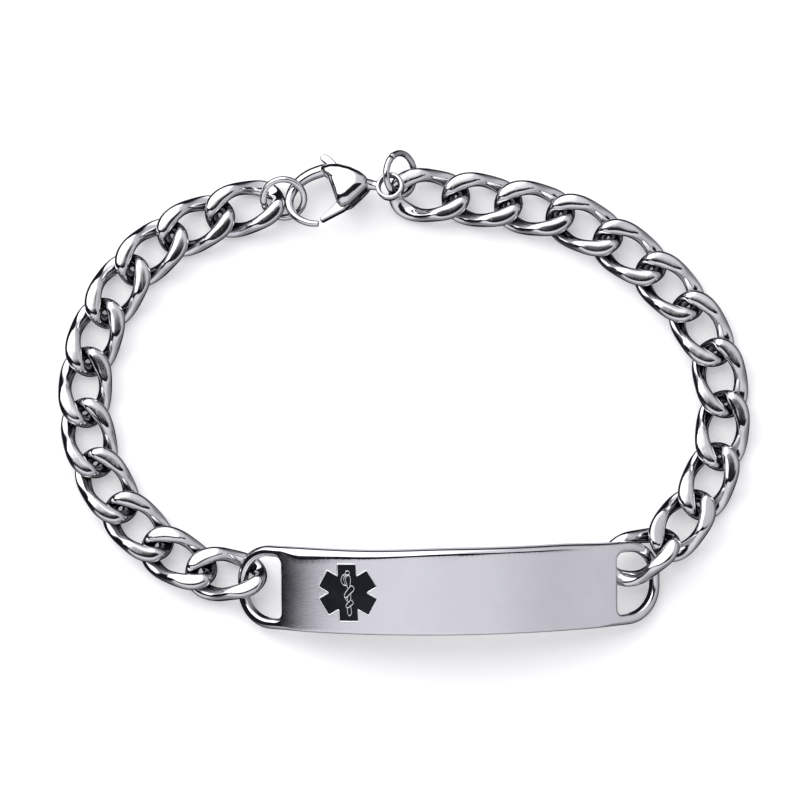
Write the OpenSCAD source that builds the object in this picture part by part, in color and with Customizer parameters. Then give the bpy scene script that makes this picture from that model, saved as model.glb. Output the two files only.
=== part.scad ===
// Medical alert bracelet lying closed on a table: a flat-sided curb chain,
// a curved name plate with a D-shaped loop at each end, an enamel emblem,
// two jump rings and a hook clasp with a sprung lever.
// Millimetres, +Z up. The origin is on the table, under the middle of the
// bracelet's outline; -Y is the plate's side and +Y the clasp's side.

/* [Chain] */
// Outer length of one link
link_len = 9.68; // [9.60:0.02:9.76]
// Outer width of one link
link_wid = 6.34; // [6.30:0.02:6.40]
// Height of one link between its ground faces
link_h = 3.0; // [2.96:0.02:3.04]
// Width of the wire at the two ends of a link, seen from above
wire_end = 1.60; // [1.54:0.02:1.66]
// Width of the wire at the middle of a link's long sides
wire_mid = 1.58; // [1.52:0.02:1.64]
// Width of the wire at the four ground lobes
wire_lobe = 1.96; // [1.88:0.02:2.00]
// Rise and fall of the wire's centre at the lobes, which lets links nest
twist_h = 1.05; // [1.03:0.01:1.07]
// Distance from link to link in the left run
pitch_left = 6.15; // [6.14:0.01:6.17]
// Distance from link to link in the right run
pitch_right = 6.26; // [6.25:0.01:6.28]

/* [Plate] */
// Straight distance between the plate's two ends
plate_chord = 49.4; // [49.2:0.1:49.6]
// Width of the plate
plate_w = 9.85; // [9.75:0.05:9.95]
// Thickness at the middle of the plate
plate_t = 1.8; // [1.6:0.05:1.9]
// Thickness at the end loops
loop_t = 1.3; // [1.2:0.05:1.35]
// Bending radius of the plate, at half its thickness
plate_r = 46; // [45.5:0.5:46.5]
// Outer corner radius of the plate
corner_r = 4.3; // [4.0:0.1:4.5]
// Width of the bar that closes each end loop
loop_bar = 1.05; // [0.95:0.05:1.1]
// Height of each D-shaped opening, across the plate
loop_hole_h = 7.4; // [7.2:0.1:7.5]
// Length of each D-shaped opening, along the plate
loop_hole_l = 4.85; // [4.8:0.05:4.9]
// Lean of the plate towards its near edge
plate_lean = 17.5; // [17:0.25:18]

/* [Emblem] */
// Span of the six-bar star from tip to tip
emblem_span = 6.6; // [6.0:0.1:7.0]
// Width of each of the star's bars
emblem_bar = 2.08; // [1.8:0.02:2.2]
// Depth of the enamel
emblem_depth = 0.25; // [0.2:0.05:0.35]
// Distance of the star's centre from the plate's middle
emblem_off = 11.9; // [11:0.1:12.5]

/* [Jump rings] */
// Wire diameter of the jump rings
ring_wire = 0.76; // [0.70:0.02:0.78]
// Centreline diameter of the ring in the hook
ring_left_d = 4.82; // [4.80:0.02:4.84]
// Centreline diameter of the ring in the eye
ring_right_d = 5.0; // [4.96:0.02:5.04]
// Angle left open at the butt joint of a ring
ring_gap = 2.5; // [1.5:0.5:4]

/* [Clasp] */
// Half height of the clasp's domed body
clasp_hh = 2.05; // [1.95:0.05:2.1]
// Thickness of the lever
lever_t = 1.10; // [1.00:0.05:1.15]
// Gap above and below the lever in its slot
lever_gap = 0.08; // [0.06:0.01:0.10]
// Diameter of the hidden hinge pin
pin_d = 0.80; // [0.70:0.05:0.85]
// Radial running clearance of the lever on its pin
pin_clear = 0.03; // [0.02:0.01:0.05]
// Outer diameter of the eye
eye_d = 3.4; // [3.3:0.05:3.5]
// Diameter of the eye's hole
eye_hole = 2.25; // [2.2:0.05:2.3]
// Height of the eye
eye_h = 1.15; // [1.0:0.05:1.2]

/* [Hidden] */
$fn = 64;

// Shift of the whole bracelet that puts its outline's middle on the origin.
SHIFT = [0.72, 0.87, 0];

// The links, clasp end first. Headings run from the clasp to the plate,
// counter-clockwise from +X; roll is about the link's length, pitch about its
// width, lift is above lying flat, and the last two shift the link in plan.
// Columns: heading, roll, pitch, lift, shift x, shift y.
LEFT = [
  [-165,   0,    0,    0,    0,     0],
  [-156.5, 0,    0,    0,    0,     0],
  [-140,   0,    0,    0,    0,     0],
  [-122,   0,    0,    0,    0,     0],
  [-109,   0,    0,    0,    0,     0],
  [-93,    0,    0,    0,    0,     0],
  [-78,    0,    0,    0,    0,     0],
  [-61,    0,    0,    0,    0,     0],
  [-45,    0,    0,    0,    0,     0],
  [-31,   -4.2, -3.4,  0.19, -0.05, -0.06],
  [-4,    -7.3, -1.4,  0.30, -0.18, -0.06]];
RIGHT = [
  [-3,     0,    0,    0,    0,     0],
  [-8,     0,    0,    0,    0,     0],
  [-11,    0,    0,    0,    0,     0],
  [-27,    0,    0,    0,    0,     0],
  [-36,    0,    0,    0,    0,     0],
  [-46,    0,    0,    0,    0,     0],
  [-60,    0,    0,    0,    0,     0],
  [-79,    0,    0,    0,    0,     0],
  [-97,    0,    0,    0,    0,     0],
  [-113,   0.4, -0.1,  0.07, 0,     0],
  [-127,  -2,   -7.1,  0.61, -0.12, 0.18],
  [-158.5, 15.8, 4.2,  1.42, -0.02, 0.12]];
// Where each run starts, at its first joint.
START_L = [-16.47, 22.36];
START_R = [-0.86, 23.22];

// Half sizes of a link's wire and path.
la = (link_len - wire_end) / 2;
lb = (link_wid - wire_mid) / 2;
lz = link_h / 2;
// Power of the link's outline, flattening of its wave, power of the wire's
// section, and the wire's half heights at the lobes and between them.
ln = 1.95;
lp = 0.25;
ls = 2.3;
hh_lobe = 0.78;
hh_mid = 1.05;
// Stations round a link and points round its wire.
LN = 20;
LM = 8;

function sp(c, e) = sign(c) * pow(abs(c), e);
function path(t) = [la * sp(cos(t), 2 / ln), lb * sp(sin(t), 2 / ln)];
function outward(t) =
  let (d = path(t + 0.06) - path(t - 0.06)) [d[1], -d[0]] / norm(d);
function rise(t) = let (s = sin(2 * t)) -twist_h * s * (1 + lp - lp * s * s);
function half_w(t) = let (k = pow(sin(2 * t), 2))
  (wire_end / 2 * pow(cos(t), 2) + wire_mid / 2 * pow(sin(t), 2)) * (1 - k)
  + wire_lobe / 2 * k;
function half_h(t) = hh_lobe + (hh_mid - hh_lobe) * pow(cos(2 * t), 2);
function link_pt(t, f) =
  let (c = path(t), n = outward(t),
       u = half_w(t) * sp(cos(f), 2 / ls), v = half_h(t) * sp(sin(f), 2 / ls))
  [c[0] + n[0] * u, c[1] + n[1] * u, max(-lz, min(lz, rise(t) + v))];

// Faces of a closed ring of n stations with m points each, made of triangles.
function ring_faces(n, m) = [for (i = [0:n - 1]) for (j = [0:m - 1])
  let (a = i * m + j, b = i * m + (j + 1) % m,
       c = ((i + 1) % n) * m + (j + 1) % m, d = ((i + 1) % n) * m + j)
  for (f = [[a, b, c], [a, c, d]]) f];

// One curb link, its length along X, its middle at the origin.
module curb_link()
  polyhedron(
    points = [for (i = [0:LN - 1]) for (j = [0:LM - 1])
      link_pt(360 * i / LN, 360 * (j + 0.5) / LM)],
    faces = ring_faces(LN, LM), convexity = 6);

function dir(h) = [cos(h), sin(h)];
// The joint before link i of a run.
function joint_at(run, p, start, i) =
  i == 0 ? start : joint_at(run, p, start, i - 1) + p * dir(run[i - 1][0]);
function centre_at(run, p, start, i) =
  joint_at(run, p, start, i) + p / 2 * dir(run[i][0]) + [run[i][4], run[i][5]];

module lay_link(run, p, start, i) {
  c = centre_at(run, p, start, i);
  color("silver")
    translate(SHIFT + [c[0], c[1], lz + run[i][3]])
      rotate([0, 0, run[i][0]]) rotate([run[i][1], 0, 0])
        rotate([0, run[i][2], 0]) curb_link();
}
module link_l(k) lay_link(LEFT, pitch_left, START_L, k - 1);
module link_r(k) lay_link(RIGHT, pitch_right, START_R, k - 1);

// ---- name plate ----
// Place of the middle of the chord between the plate's ends, and the plate's
// turn in plan.
PLATE_AT = [4.54, -22.80, 1.34];
PLATE_TURN = 0.7;
half = plate_chord / 2;
// Height of the bent sheet's middle above its ends.
bow = plate_r - sqrt(plate_r * plate_r - half * half);
end_ang = asin(half / plate_r);
r_under = plate_r - plate_t / 2;
// The upper face has a smaller radius, so that the plate thins to its loops.
end_top = plate_r + loop_t - plate_t / 2;
tx = end_top * sin(end_ang);
tz = end_top * cos(end_ang);
top_z = plate_r + plate_t / 2;
r_over = (tx * tx + (top_z - tz) * (top_z - tz)) / (2 * (top_z - tz));

module on_plate()
  translate(SHIFT + PLATE_AT) rotate([0, 0, PLATE_TURN])
    rotate([plate_lean, 0, 0]) translate([0, 0, bow - plate_r]) children();

// Outline of a D or of a plate's end: x runs outwards from 0 to l, with
// corners of radius ri at x = 0 and ro at x = l.
function corner(cx, cy, r, a0, k) =
  [for (i = [0:k]) [cx + r * cos(a0 + 90 * i / k), cy + r * sin(a0 + 90 * i / k)]];
function dee(l, h, ri, ro) = concat(
  corner(l - ro, h / 2 - ro, ro, 0, 9), corner(ri, h / 2 - ri, ri, 90, 3),
  corner(ri, -h / 2 + ri, ri, 180, 3), corner(l - ro, -h / 2 + ro, ro, 270, 9));

// Draws at the arc length s from the plate's middle, with x outwards and z
// along the sheet's normal there; side is 0 on the right and 1 on the left.
module at_arc(s, side)
  rotate([0, 0, 180 * side]) rotate([0, s / plate_r * 180 / PI, 0])
    translate([0, 0, plate_r]) children();

arc_half = plate_r * end_ang * PI / 180;
// What is cut away beyond a rounded end of length l and width h. The first
// step of each corner's arc runs on past the plate's side, to cross it.
function arc_pts(cx, cy, r, a0, a1, k) =
  [for (i = [0:k]) let (a = a0 + (a1 - a0) * i / k) [cx + r * cos(a), cy + r * sin(a)]];
function beyond(l, h, r) = let (u = r * sin(10), v = r * (1 - cos(10))) concat(
  [[l - r - u, -h / 2 - v]], arc_pts(l - r, r - h / 2, r, 280, 360, 8),
  arc_pts(l - r, h / 2 - r, r, 0, 80, 8), [[l - r - u, h / 2 + v],
   [l - r - u, h / 2 + 2], [l + 5, h / 2 + 2], [l + 5, -h / 2 - 2],
   [l - r - u, -h / 2 - 2]]);
module end_cut(side)
  at_arc(arc_half - corner_r, side) translate([0, 0, -4]) linear_extrude(9)
    polygon(beyond(corner_r, plate_w, corner_r));

module sheet()
  difference() {
    intersection() {
      translate([0, plate_w, top_z - r_over]) rotate([90, 0, 0])
        cylinder(r = r_over, h = 2 * plate_w, $fn = 180);
      translate([-half - 2, -plate_w / 2, plate_r * cos(end_ang) - 4])
        cube([2 * half + 4, plate_w, 14]);
    }
    translate([0, plate_w + 1, 0]) rotate([90, 0, 0])
      cylinder(r = r_under, h = 2 * plate_w + 2, $fn = 180);
  }

module star2d(span, bar)
  for (a = [30, 90, 150]) rotate(a) square([span, bar], center = true);

module emblem_cut(grow, deep)
  rotate([0, -asin(emblem_off / top_z), 0]) translate([0, 0, top_z - deep - 0.35])
    rotate([0, 0, 1.9]) linear_extrude(3)
      star2d(emblem_span + 2 * grow, emblem_bar + 2 * grow);

module plate()
  color("lightsteelblue") on_plate() difference() {
    sheet();
    for (side = [0, 1]) end_cut(side);
    for (side = [0, 1])
      at_arc(arc_half - loop_bar - loop_hole_l, side)
        translate([0, 0, -4]) linear_extrude(8)
          polygon(dee(loop_hole_l, loop_hole_h, 0.6, 3.3));
    difference() {
      emblem_cut(0.03, emblem_depth);
      translate([0, plate_w, top_z - r_over]) rotate([90, 0, 0])
        cylinder(r = r_over - emblem_depth - 0.03, h = 2 * plate_w, $fn = 180);
    }
  }

module emblem()
  color("black") on_plate() intersection() {
    emblem_cut(0, emblem_depth);
    difference() {
      translate([0, plate_w, top_z - r_over]) rotate([90, 0, 0])
        cylinder(r = r_over, h = 2 * plate_w, $fn = 180);
      translate([0, plate_w + 1, top_z - r_over]) rotate([90, 0, 0])
        cylinder(r = r_over - emblem_depth, h = 2 * plate_w + 2, $fn = 180);
    }
  }

// ---- jump rings ----
module jump_ring(d, at, spin, tilt, gap_at)
  color("gainsboro") translate(SHIFT + at) rotate([0, 0, spin])
    rotate([tilt, 0, 0]) rotate([0, 0, gap_at])
      rotate_extrude(angle = 360 - ring_gap) translate([d / 2, 0])
        circle(d = ring_wire, $fn = 24);

module jump_ring_left() jump_ring(ring_left_d, [-14.88, 22.60, 2.16], -2, 30.4, 200);
module jump_ring_right() jump_ring(ring_right_d, [-1.15, 25.33, 2.94], 84.2, 49.2, 51);

// ---- clasp ----
// The clasp's own frame: the hinge pin is the origin, +X runs to the eye, +Y
// to the far side, and z = 0 is the middle of the lever.
CLASP_AT = [-7.65, 23.62, 3.05];
CLASP_TURN = 6.8;
CLASP_ROLL = -11;
CLASP_PITCH = -9;
// Centre of the eye.
EYE = [5.35, -0.72];
// Outline of the domed body. Columns: x, y.
BODY = [[-2.80, 2.80], [-1.50, 3.10], [-0.30, 2.88], [1.12, 2.22], [2.2, 1.45],
  [2.85, 0.70], [2.85, -0.45], [1.60, -1.45], [0.45, -2.25], [-0.50, -2.45],
  [-1.05, -1.97], [-1.42, -0.11], [-1.81, 1.60]];
// Centreline of the hook. Columns: x, y, wire diameter.
HOOK = [[-2.25, 2.70, 1.50], [-2.95, 2.62, 1.50], [-3.80, 2.44, 1.47],
  [-4.65, 2.12, 1.40], [-5.40, 1.68, 1.32], [-6.05, 1.06, 1.23],
  [-6.53, 0.34, 1.14], [-6.79, -0.46, 1.06], [-6.77, -1.28, 0.98],
  [-6.42, -2.10, 0.91], [-5.80, -2.82, 0.85], [-4.98, -3.36, 0.79],
  [-4.30, -3.62, 0.75], [-3.62, -3.76, 0.72]];
HM = 10;

module on_clasp()
  translate(SHIFT + CLASP_AT) rotate([0, 0, CLASP_TURN])
    rotate([CLASP_ROLL, 0, 0]) rotate([0, CLASP_PITCH, 0]) children();

slot_z = lever_t / 2 + lever_gap;

// Points of a tube through the rows of a table in the plane z = 0.
function tube_dir(T, i) =
  let (p = T[max(0, i - 1)], q = T[min(len(T) - 1, i + 1)],
       d = [q[0] - p[0], q[1] - p[1]]) d / norm(d);
function tube_pts(T, m) = [for (i = [0:len(T) - 1]) for (j = [0:m - 1])
  let (d = tube_dir(T, i), r = T[i][2] / 2, f = 360 * (j + 0.5) / m)
  [T[i][0] + d[1] * r * cos(f), T[i][1] - d[0] * r * cos(f), r * sin(f)]];
function tube_faces(n, m) = concat(
  [for (i = [0:n - 2]) for (j = [0:m - 1])
    let (a = i * m + j, b = i * m + (j + 1) % m,
         c = (i + 1) * m + (j + 1) % m, d = (i + 1) * m + j)
    for (f = [[a, b, c], [a, c, d]]) f],
  [[for (j = [m - 1:-1:0]) j]], [[for (j = [0:m - 1]) (n - 1) * m + j]]);

// A domed slab over a polygon: the steps of the dome draw in towards c.
DOME = [[1, 0], [1, 0.52], [0.94, 0.76], [0.8, 0.92], [0.55, 1]];
function dome_pts(P, c, z0, h) = [for (k = DOME) for (p = P)
  [c[0] + (p[0] - c[0]) * k[0], c[1] + (p[1] - c[1]) * k[0], z0 + h * k[1]]];
module dome(P, c, z0, h)
  polyhedron(points = dome_pts(P, c, z0, h),
    faces = [for (f = tube_faces(len(DOME), len(P))) f], convexity = 4);

module clasp_body()
  color("silver") on_clasp() difference() {
    union() {
      dome(BODY, [0.2, 0.6], slot_z, clasp_hh - slot_z);
      mirror([0, 0, 1]) dome(BODY, [0.2, 0.6], slot_z, clasp_hh - slot_z);
      // Web between the shells on the eye's side, and the hook's root.
      linear_extrude(2 * slot_z + 0.2, center = true)
        polygon([[1.75, 1.55], [2.75, 0.75], [2.75, -0.50], [1.75, -1.20]]);
      linear_extrude(2 * slot_z + 0.2, center = true)
        polygon([[-2.72, 2.74], [-2.30, 2.84], [-2.02, 2.20], [-2.15, 1.85],
          [-2.30, 1.95]]);
      polyhedron(points = tube_pts(HOOK, HM),
        faces = tube_faces(len(HOOK), HM), convexity = 6);
      // Neck and eye.
      hull() {
        translate([2.6, 0.1, 0]) cube([0.1, 1.5, 1.7], center = true);
        translate([3.75, -0.30, 0]) cube([0.1, 0.95, 1.1], center = true);
      }
      translate([EYE[0], EYE[1], 0]) cylinder(d = eye_d, h = eye_h, center = true);
    }
    translate([EYE[0], EYE[1], 0]) cylinder(d = eye_hole, h = eye_h + 2, center = true);
    cylinder(d = pin_d + 0.02, h = 2 * (slot_z + 0.62), center = true);
  }

// Plan of the lever: a hub round the pin, the thumb tab, and the gate that
// closes the hook. Columns: x, y.
LEVER = [[1.12, -0.20], [1.12, 0.30], [0.80, 0.80], [-0.78, 3.52],
  [-1.16, 4.02], [-1.68, 4.49], [-2.11, 4.55], [-2.41, 4.33], [-2.46, 3.99],
  [-2.21, 3.69], [-1.76, 3.22], [-1.58, 2.60], [-1.08, 0.55], [-1.12, -0.30],
  [-1.20, -1.74], [-3.28, -3.20], [-3.38, -3.36], [-3.32, -3.54],
  [-3.14, -3.63], [-2.94, -3.60], [-0.40, -2.72], [0.42, -2.15],
  [0.95, -0.80]];

module clasp_lever()
  color("gainsboro") on_clasp() difference() {
    linear_extrude(lever_t, center = true) polygon(LEVER);
    cylinder(d = pin_d + 2 * pin_clear, h = lever_t + 2, center = true);
  }

module clasp_pin()
  color("gray") on_clasp()
    cylinder(d = pin_d, h = 2 * (slot_z + 0.6), center = true);

plate();
emblem();
link_l(1);  // link_l01
link_l(2);  // link_l02
link_l(3);  // link_l03
link_l(4);  // link_l04
link_l(5);  // link_l05
link_l(6);  // link_l06
link_l(7);  // link_l07
link_l(8);  // link_l08
link_l(9);  // link_l09
link_l(10);  // link_l10
link_l(11);  // link_l11
link_r(1);  // link_r01
link_r(2);  // link_r02
link_r(3);  // link_r03
link_r(4);  // link_r04
link_r(5);  // link_r05
link_r(6);  // link_r06
link_r(7);  // link_r07
link_r(8);  // link_r08
link_r(9);  // link_r09
link_r(10);  // link_r10
link_r(11);  // link_r11
link_r(12);  // link_r12
jump_ring_left();
jump_ring_right();
clasp_body();
clasp_lever();
clasp_pin();
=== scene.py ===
"""Looks of a medical alert bracelet: curb chain, curved plate with enamel emblem, jump rings and hook clasp."""

import math

import bmesh
import bpy
import numpy as np
from mathutils import Matrix, Vector
from mathutils.geometry import delaunay_2d_cdt


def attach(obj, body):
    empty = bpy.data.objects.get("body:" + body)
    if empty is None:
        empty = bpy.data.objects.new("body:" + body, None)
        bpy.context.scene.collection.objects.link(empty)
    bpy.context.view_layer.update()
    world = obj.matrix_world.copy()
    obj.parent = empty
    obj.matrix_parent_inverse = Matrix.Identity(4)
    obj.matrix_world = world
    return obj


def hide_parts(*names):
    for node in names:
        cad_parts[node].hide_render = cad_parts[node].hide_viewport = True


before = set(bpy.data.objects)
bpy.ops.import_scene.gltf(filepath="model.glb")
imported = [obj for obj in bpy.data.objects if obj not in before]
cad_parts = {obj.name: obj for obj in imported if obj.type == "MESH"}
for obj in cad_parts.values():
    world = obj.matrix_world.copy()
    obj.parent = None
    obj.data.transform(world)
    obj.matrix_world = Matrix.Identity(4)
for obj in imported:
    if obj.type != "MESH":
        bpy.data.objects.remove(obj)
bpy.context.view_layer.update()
MM = 0.001
SHIFT = np.array([0.72, 0.87, 0.0])


# ------------------------------------------------------------------ helpers
def rot(axis, deg):
    a = math.radians(deg)
    c, s = math.cos(a), math.sin(a)
    return np.array({"x": [[1, 0, 0], [0, c, -s], [0, s, c]],
                     "y": [[c, 0, s], [0, 1, 0], [-s, 0, c]],
                     "z": [[c, -s, 0], [s, c, 0], [0, 0, 1]]}[axis], float)


def sp(c, e):
    return np.sign(c) * np.abs(c) ** e


def smooth_step(x, a, b):
    t = np.clip((x - a) / (b - a), 0, 1)
    return t * t * (3 - 2 * t)


def weighted_normals(me, V, F):
    """Vertex normals weighted by face area, so that narrow edge strips carry the turn and broad faces stay flat."""
    N = np.zeros((len(V), 3))
    for f in F:
        p = V[list(f)]
        n = np.zeros(3)
        for i in range(1, len(f) - 1):
            n += np.cross(p[i] - p[0], p[i + 1] - p[0])
        for i in f:
            N[i] += n
    L = np.linalg.norm(N, axis=1)
    N[L < 1e-12] = (0, 0, 1)
    L[L < 1e-12] = 1
    me.normals_split_custom_set_from_vertices((N / L[:, None]).tolist())


def make(name, V, F, mats, mat_ids=None, body="bracelet", node=None, weighted=True, sharp=None):
    """A mesh object from points in millimetres, riding on a body and standing for a CAD node."""
    V = np.asarray(V, float)
    me = bpy.data.meshes.new(name)
    me.from_pydata((V * MM).tolist(), [], [tuple(int(i) for i in f) for f in F])
    me.update()
    ob = bpy.data.objects.new(name, me)
    bpy.context.scene.collection.objects.link(ob)
    for m in mats if isinstance(mats, (list, tuple)) else [mats]:
        me.materials.append(m)
    if mat_ids is not None:
        me.polygons.foreach_set("material_index", np.asarray(mat_ids, np.int32))
    me.polygons.foreach_set("use_smooth", np.ones(len(me.polygons), bool))
    if sharp is not None:
        me.set_sharp_from_angle(angle=math.radians(sharp))
    elif weighted:
        weighted_normals(me, V, F)
    if body:
        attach(ob, body)
    if node:
        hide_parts(node)
    return ob


def grid_faces(n, m, closed_n=True, closed_m=True):
    F = []
    for i in range(n if closed_n else n - 1):
        for j in range(m if closed_m else m - 1):
            a, b = i * m + j, i * m + (j + 1) % m
            c, d = ((i + 1) % n) * m + (j + 1) % m, ((i + 1) % n) * m + j
            F.append((a, d, c, b))
    return F


def catmull(P, k, closed=False):
    """Points on a centripetal-like smooth curve through the rows of P, k steps a span."""
    P = np.asarray(P, float)
    n = len(P)
    out = []
    for i in range(n if closed else n - 1):
        p0 = P[(i - 1) % n] if closed or i > 0 else 2 * P[0] - P[1]
        p1, p2 = P[i], P[(i + 1) % n]
        p3 = P[(i + 2) % n] if closed or i + 2 < n else 2 * P[-1] - P[-2]
        for j in range(k):
            t = j / k
            out.append(0.5 * (2 * p1 + (p2 - p0) * t + (2 * p0 - 5 * p1 + 4 * p2 - p3) * t * t
                              + (3 * p1 - p0 - 3 * p2 + p3) * t ** 3))
    if not closed:
        out.append(P[-1])
    return np.array(out)


def rounded(P, r, k=6):
    """A closed polygon with its corners rounded to radius r."""
    P = np.asarray(P, float)
    n = len(P)
    out = []
    for i in range(n):
        a, b, c = P[i - 1], P[i], P[(i + 1) % n]
        u, v = a - b, c - b
        lu, lv = np.linalg.norm(u), np.linalg.norm(v)
        u, v = u / lu, v / lv
        ang = math.acos(max(-1, min(1, float(u @ v))))
        d = min(r / math.tan(ang / 2), 0.45 * lu, 0.45 * lv)
        rr = d * math.tan(ang / 2)
        bis = (u + v)
        if np.linalg.norm(bis) < 1e-6:
            out.append(b)
            continue
        bis /= np.linalg.norm(bis)
        c0 = b + bis * math.hypot(d, rr)
        p, q = b + u * d - c0, b + v * d - c0
        a0, a1 = math.atan2(p[1], p[0]), math.atan2(q[1], q[0])
        da = (a1 - a0 + math.pi) % (2 * math.pi) - math.pi
        for j in range(k + 1):
            t = a0 + da * j / k
            out.append(c0 + rr * np.array([math.cos(t), math.sin(t)]))
    return np.array(out)


def resample(P, step):
    """A closed polyline with evenly spaced points about step apart."""
    Q = np.vstack([P, P[:1]])
    L = np.r_[0, np.cumsum(np.linalg.norm(np.diff(Q, axis=0), axis=1))]
    n = max(8, int(round(L[-1] / step)))
    t = np.linspace(0, L[-1], n, endpoint=False)
    return np.stack([np.interp(t, L, Q[:, 0]), np.interp(t, L, Q[:, 1])], 1)


def inward(P):
    """Unit normals of a closed loop, to the left of its direction: into the material."""
    d = np.roll(P, -1, 0) - np.roll(P, 1, 0)
    d /= np.linalg.norm(d, axis=1)[:, None]
    return np.stack([-d[:, 1], d[:, 0]], 1)


def inside(G, loops, margin):
    """Which points lie in the first loop, outside the others, and at least margin from every loop."""
    ok = np.ones(len(G), bool)
    for k, P in enumerate(loops):
        Q = np.roll(P, -1, 0)
        hit = np.zeros(len(G), bool)
        for (x0, y0), (x1, y1) in zip(P, Q):
            if y0 == y1:
                continue
            c = ((G[:, 1] > y0) != (G[:, 1] > y1)) & (G[:, 0] < (x1 - x0) * (G[:, 1] - y0) / (y1 - y0) + x0)
            hit ^= c
        ok &= hit if k == 0 else ~hit
        if margin:
            for p in P:
                ok &= (G[:, 0] - p[0]) ** 2 + (G[:, 1] - p[1]) ** 2 > margin * margin
    return ok


# ---------------------------------------------------------------- materials
class Tree:
    def __init__(self, tree):
        self.t = tree
        self.n, self.l = tree.nodes, tree.links

    def node(self, kind, **sets):
        n = self.n.new(kind)
        for k, v in sets.items():
            setattr(n, k, v)
        return n

    def put(self, socket, value):
        if isinstance(value, bpy.types.NodeSocket):
            self.l.new(value, socket)
        else:
            socket.default_value = value

    def math(self, op, a, b=0.0, c=0.0):
        n = self.node("ShaderNodeMath", operation=op)
        self.put(n.inputs[0], a)
        self.put(n.inputs[1], b)
        self.put(n.inputs[2], c)
        return n.outputs[0]

    def noise(self, vec, scale, detail=3.0, rough=0.5, distort=0.0):
        n = self.node("ShaderNodeTexNoise")
        self.put(n.inputs["Vector"], vec)
        n.inputs["Scale"].default_value = scale
        n.inputs["Detail"].default_value = detail
        n.inputs["Roughness"].default_value = rough
        n.inputs["Distortion"].default_value = distort
        return n.outputs["Fac"]

    def ramp(self, fac, lo, hi, a, b):
        n = self.node("ShaderNodeMapRange", interpolation_type="SMOOTHSTEP")
        self.put(n.inputs["Value"], fac)
        n.inputs["From Min"].default_value = lo
        n.inputs["From Max"].default_value = hi
        n.inputs["To Min"].default_value = a
        n.inputs["To Max"].default_value = b
        return n.outputs["Result"]

    def mix(self, fac, a, b):
        n = self.node("ShaderNodeMix", data_type="RGBA")
        self.put(n.inputs["Factor"], fac)
        self.put(n.inputs["A"], a)
        self.put(n.inputs["B"], b)
        return n.outputs["Result"]

    def mapping(self, vec, scale, turn=(0, 0, 0)):
        n = self.node("ShaderNodeMapping")
        self.put(n.inputs["Vector"], vec)
        n.inputs["Scale"].default_value = scale
        n.inputs["Rotation"].default_value = turn
        return n.outputs["Vector"]


def metal(name, tone, dark, rough, spread, bump=0.0, bump_scale=900.0, lines=None, scratch=0.04, wave=0.0, wave_scale=500.0, painted_shade_floor=0.10):
    """Stainless steel: tone varies a little, roughness has smudges and hairline scratches, bump gives the ground grain,
    and painted shade darkens the colour where pieces close in.
    """
    m = bpy.data.materials.new(name)
    m.use_nodes = True
    t = Tree(m.node_tree)
    b = m.node_tree.nodes["Principled BSDF"]
    b.inputs["Metallic"].default_value = 1.0
    co = t.node("ShaderNodeTexCoord").outputs["Object"]
    cloud = t.noise(co, 260.0, 3.0, 0.55)
    fine = t.noise(co, 2600.0, 2.0, 0.5)
    # painted shade: the colour darkens to near black in the hollows between pieces, where ambient occlusion finds them
    # closed in
    ao = t.node("ShaderNodeAmbientOcclusion", samples=6)
    ao.inputs["Distance"].default_value = 0.0014
    painted_shade_fac = t.ramp(ao.outputs["AO"], 0.30, 0.74, painted_shade_floor, 1.0)
    clean = t.mix(t.ramp(cloud, 0.35, 0.65, 0.0, 1.0), (*dark, 1), (*tone, 1))
    t.put(b.inputs["Base Color"], t.mix(painted_shade_fac, (0.012, 0.012, 0.014, 1), clean))
    # hairline scratches: thin lines of a wave in two crossing directions, broken up by noise
    marks = None
    for turn in ((0.3, 0.2, 0.6), (0.1, -0.4, -1.1)):
        v = t.mapping(co, (2400.0, 160.0, 900.0), turn)
        n = t.noise(v, 1.0, 2.0, 0.5, 0.3)
        line = t.ramp(n, 0.66, 0.72, 0.0, 1.0)
        marks = line if marks is None else t.math("MAXIMUM", marks, line)
    r = t.math("ADD", t.ramp(cloud, 0.3, 0.7, rough - spread, rough + spread), t.math("MULTIPLY", marks, scratch))
    r = t.math("ADD", r, t.ramp(fine, 0.4, 0.7, 0.0, spread * 0.6))
    t.put(b.inputs["Roughness"], r)
    h = t.math("MULTIPLY", marks, -0.15 if scratch else 0.0)
    if lines:
        v = t.mapping(co, lines)
        h = t.math("ADD", h, t.noise(v, 1.0, 3.0, 0.6))
    else:
        h = t.math("ADD", h, t.noise(co, bump_scale, 3.0, 0.6))
    if bump:
        n = t.node("ShaderNodeBump")
        n.inputs["Strength"].default_value = 1.0
        n.inputs["Distance"].default_value = bump
        t.put(n.inputs["Height"], h)
        out = n.outputs["Normal"]
        if wave:
            w = t.node("ShaderNodeBump")
            w.inputs["Strength"].default_value = 1.0
            w.inputs["Distance"].default_value = wave
            t.put(w.inputs["Height"], t.noise(co, wave_scale, 1.0, 0.4, 0.6))
            t.put(w.inputs["Normal"], out)
            out = w.outputs["Normal"]
        t.put(b.inputs["Normal"], out)
    return m


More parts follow.
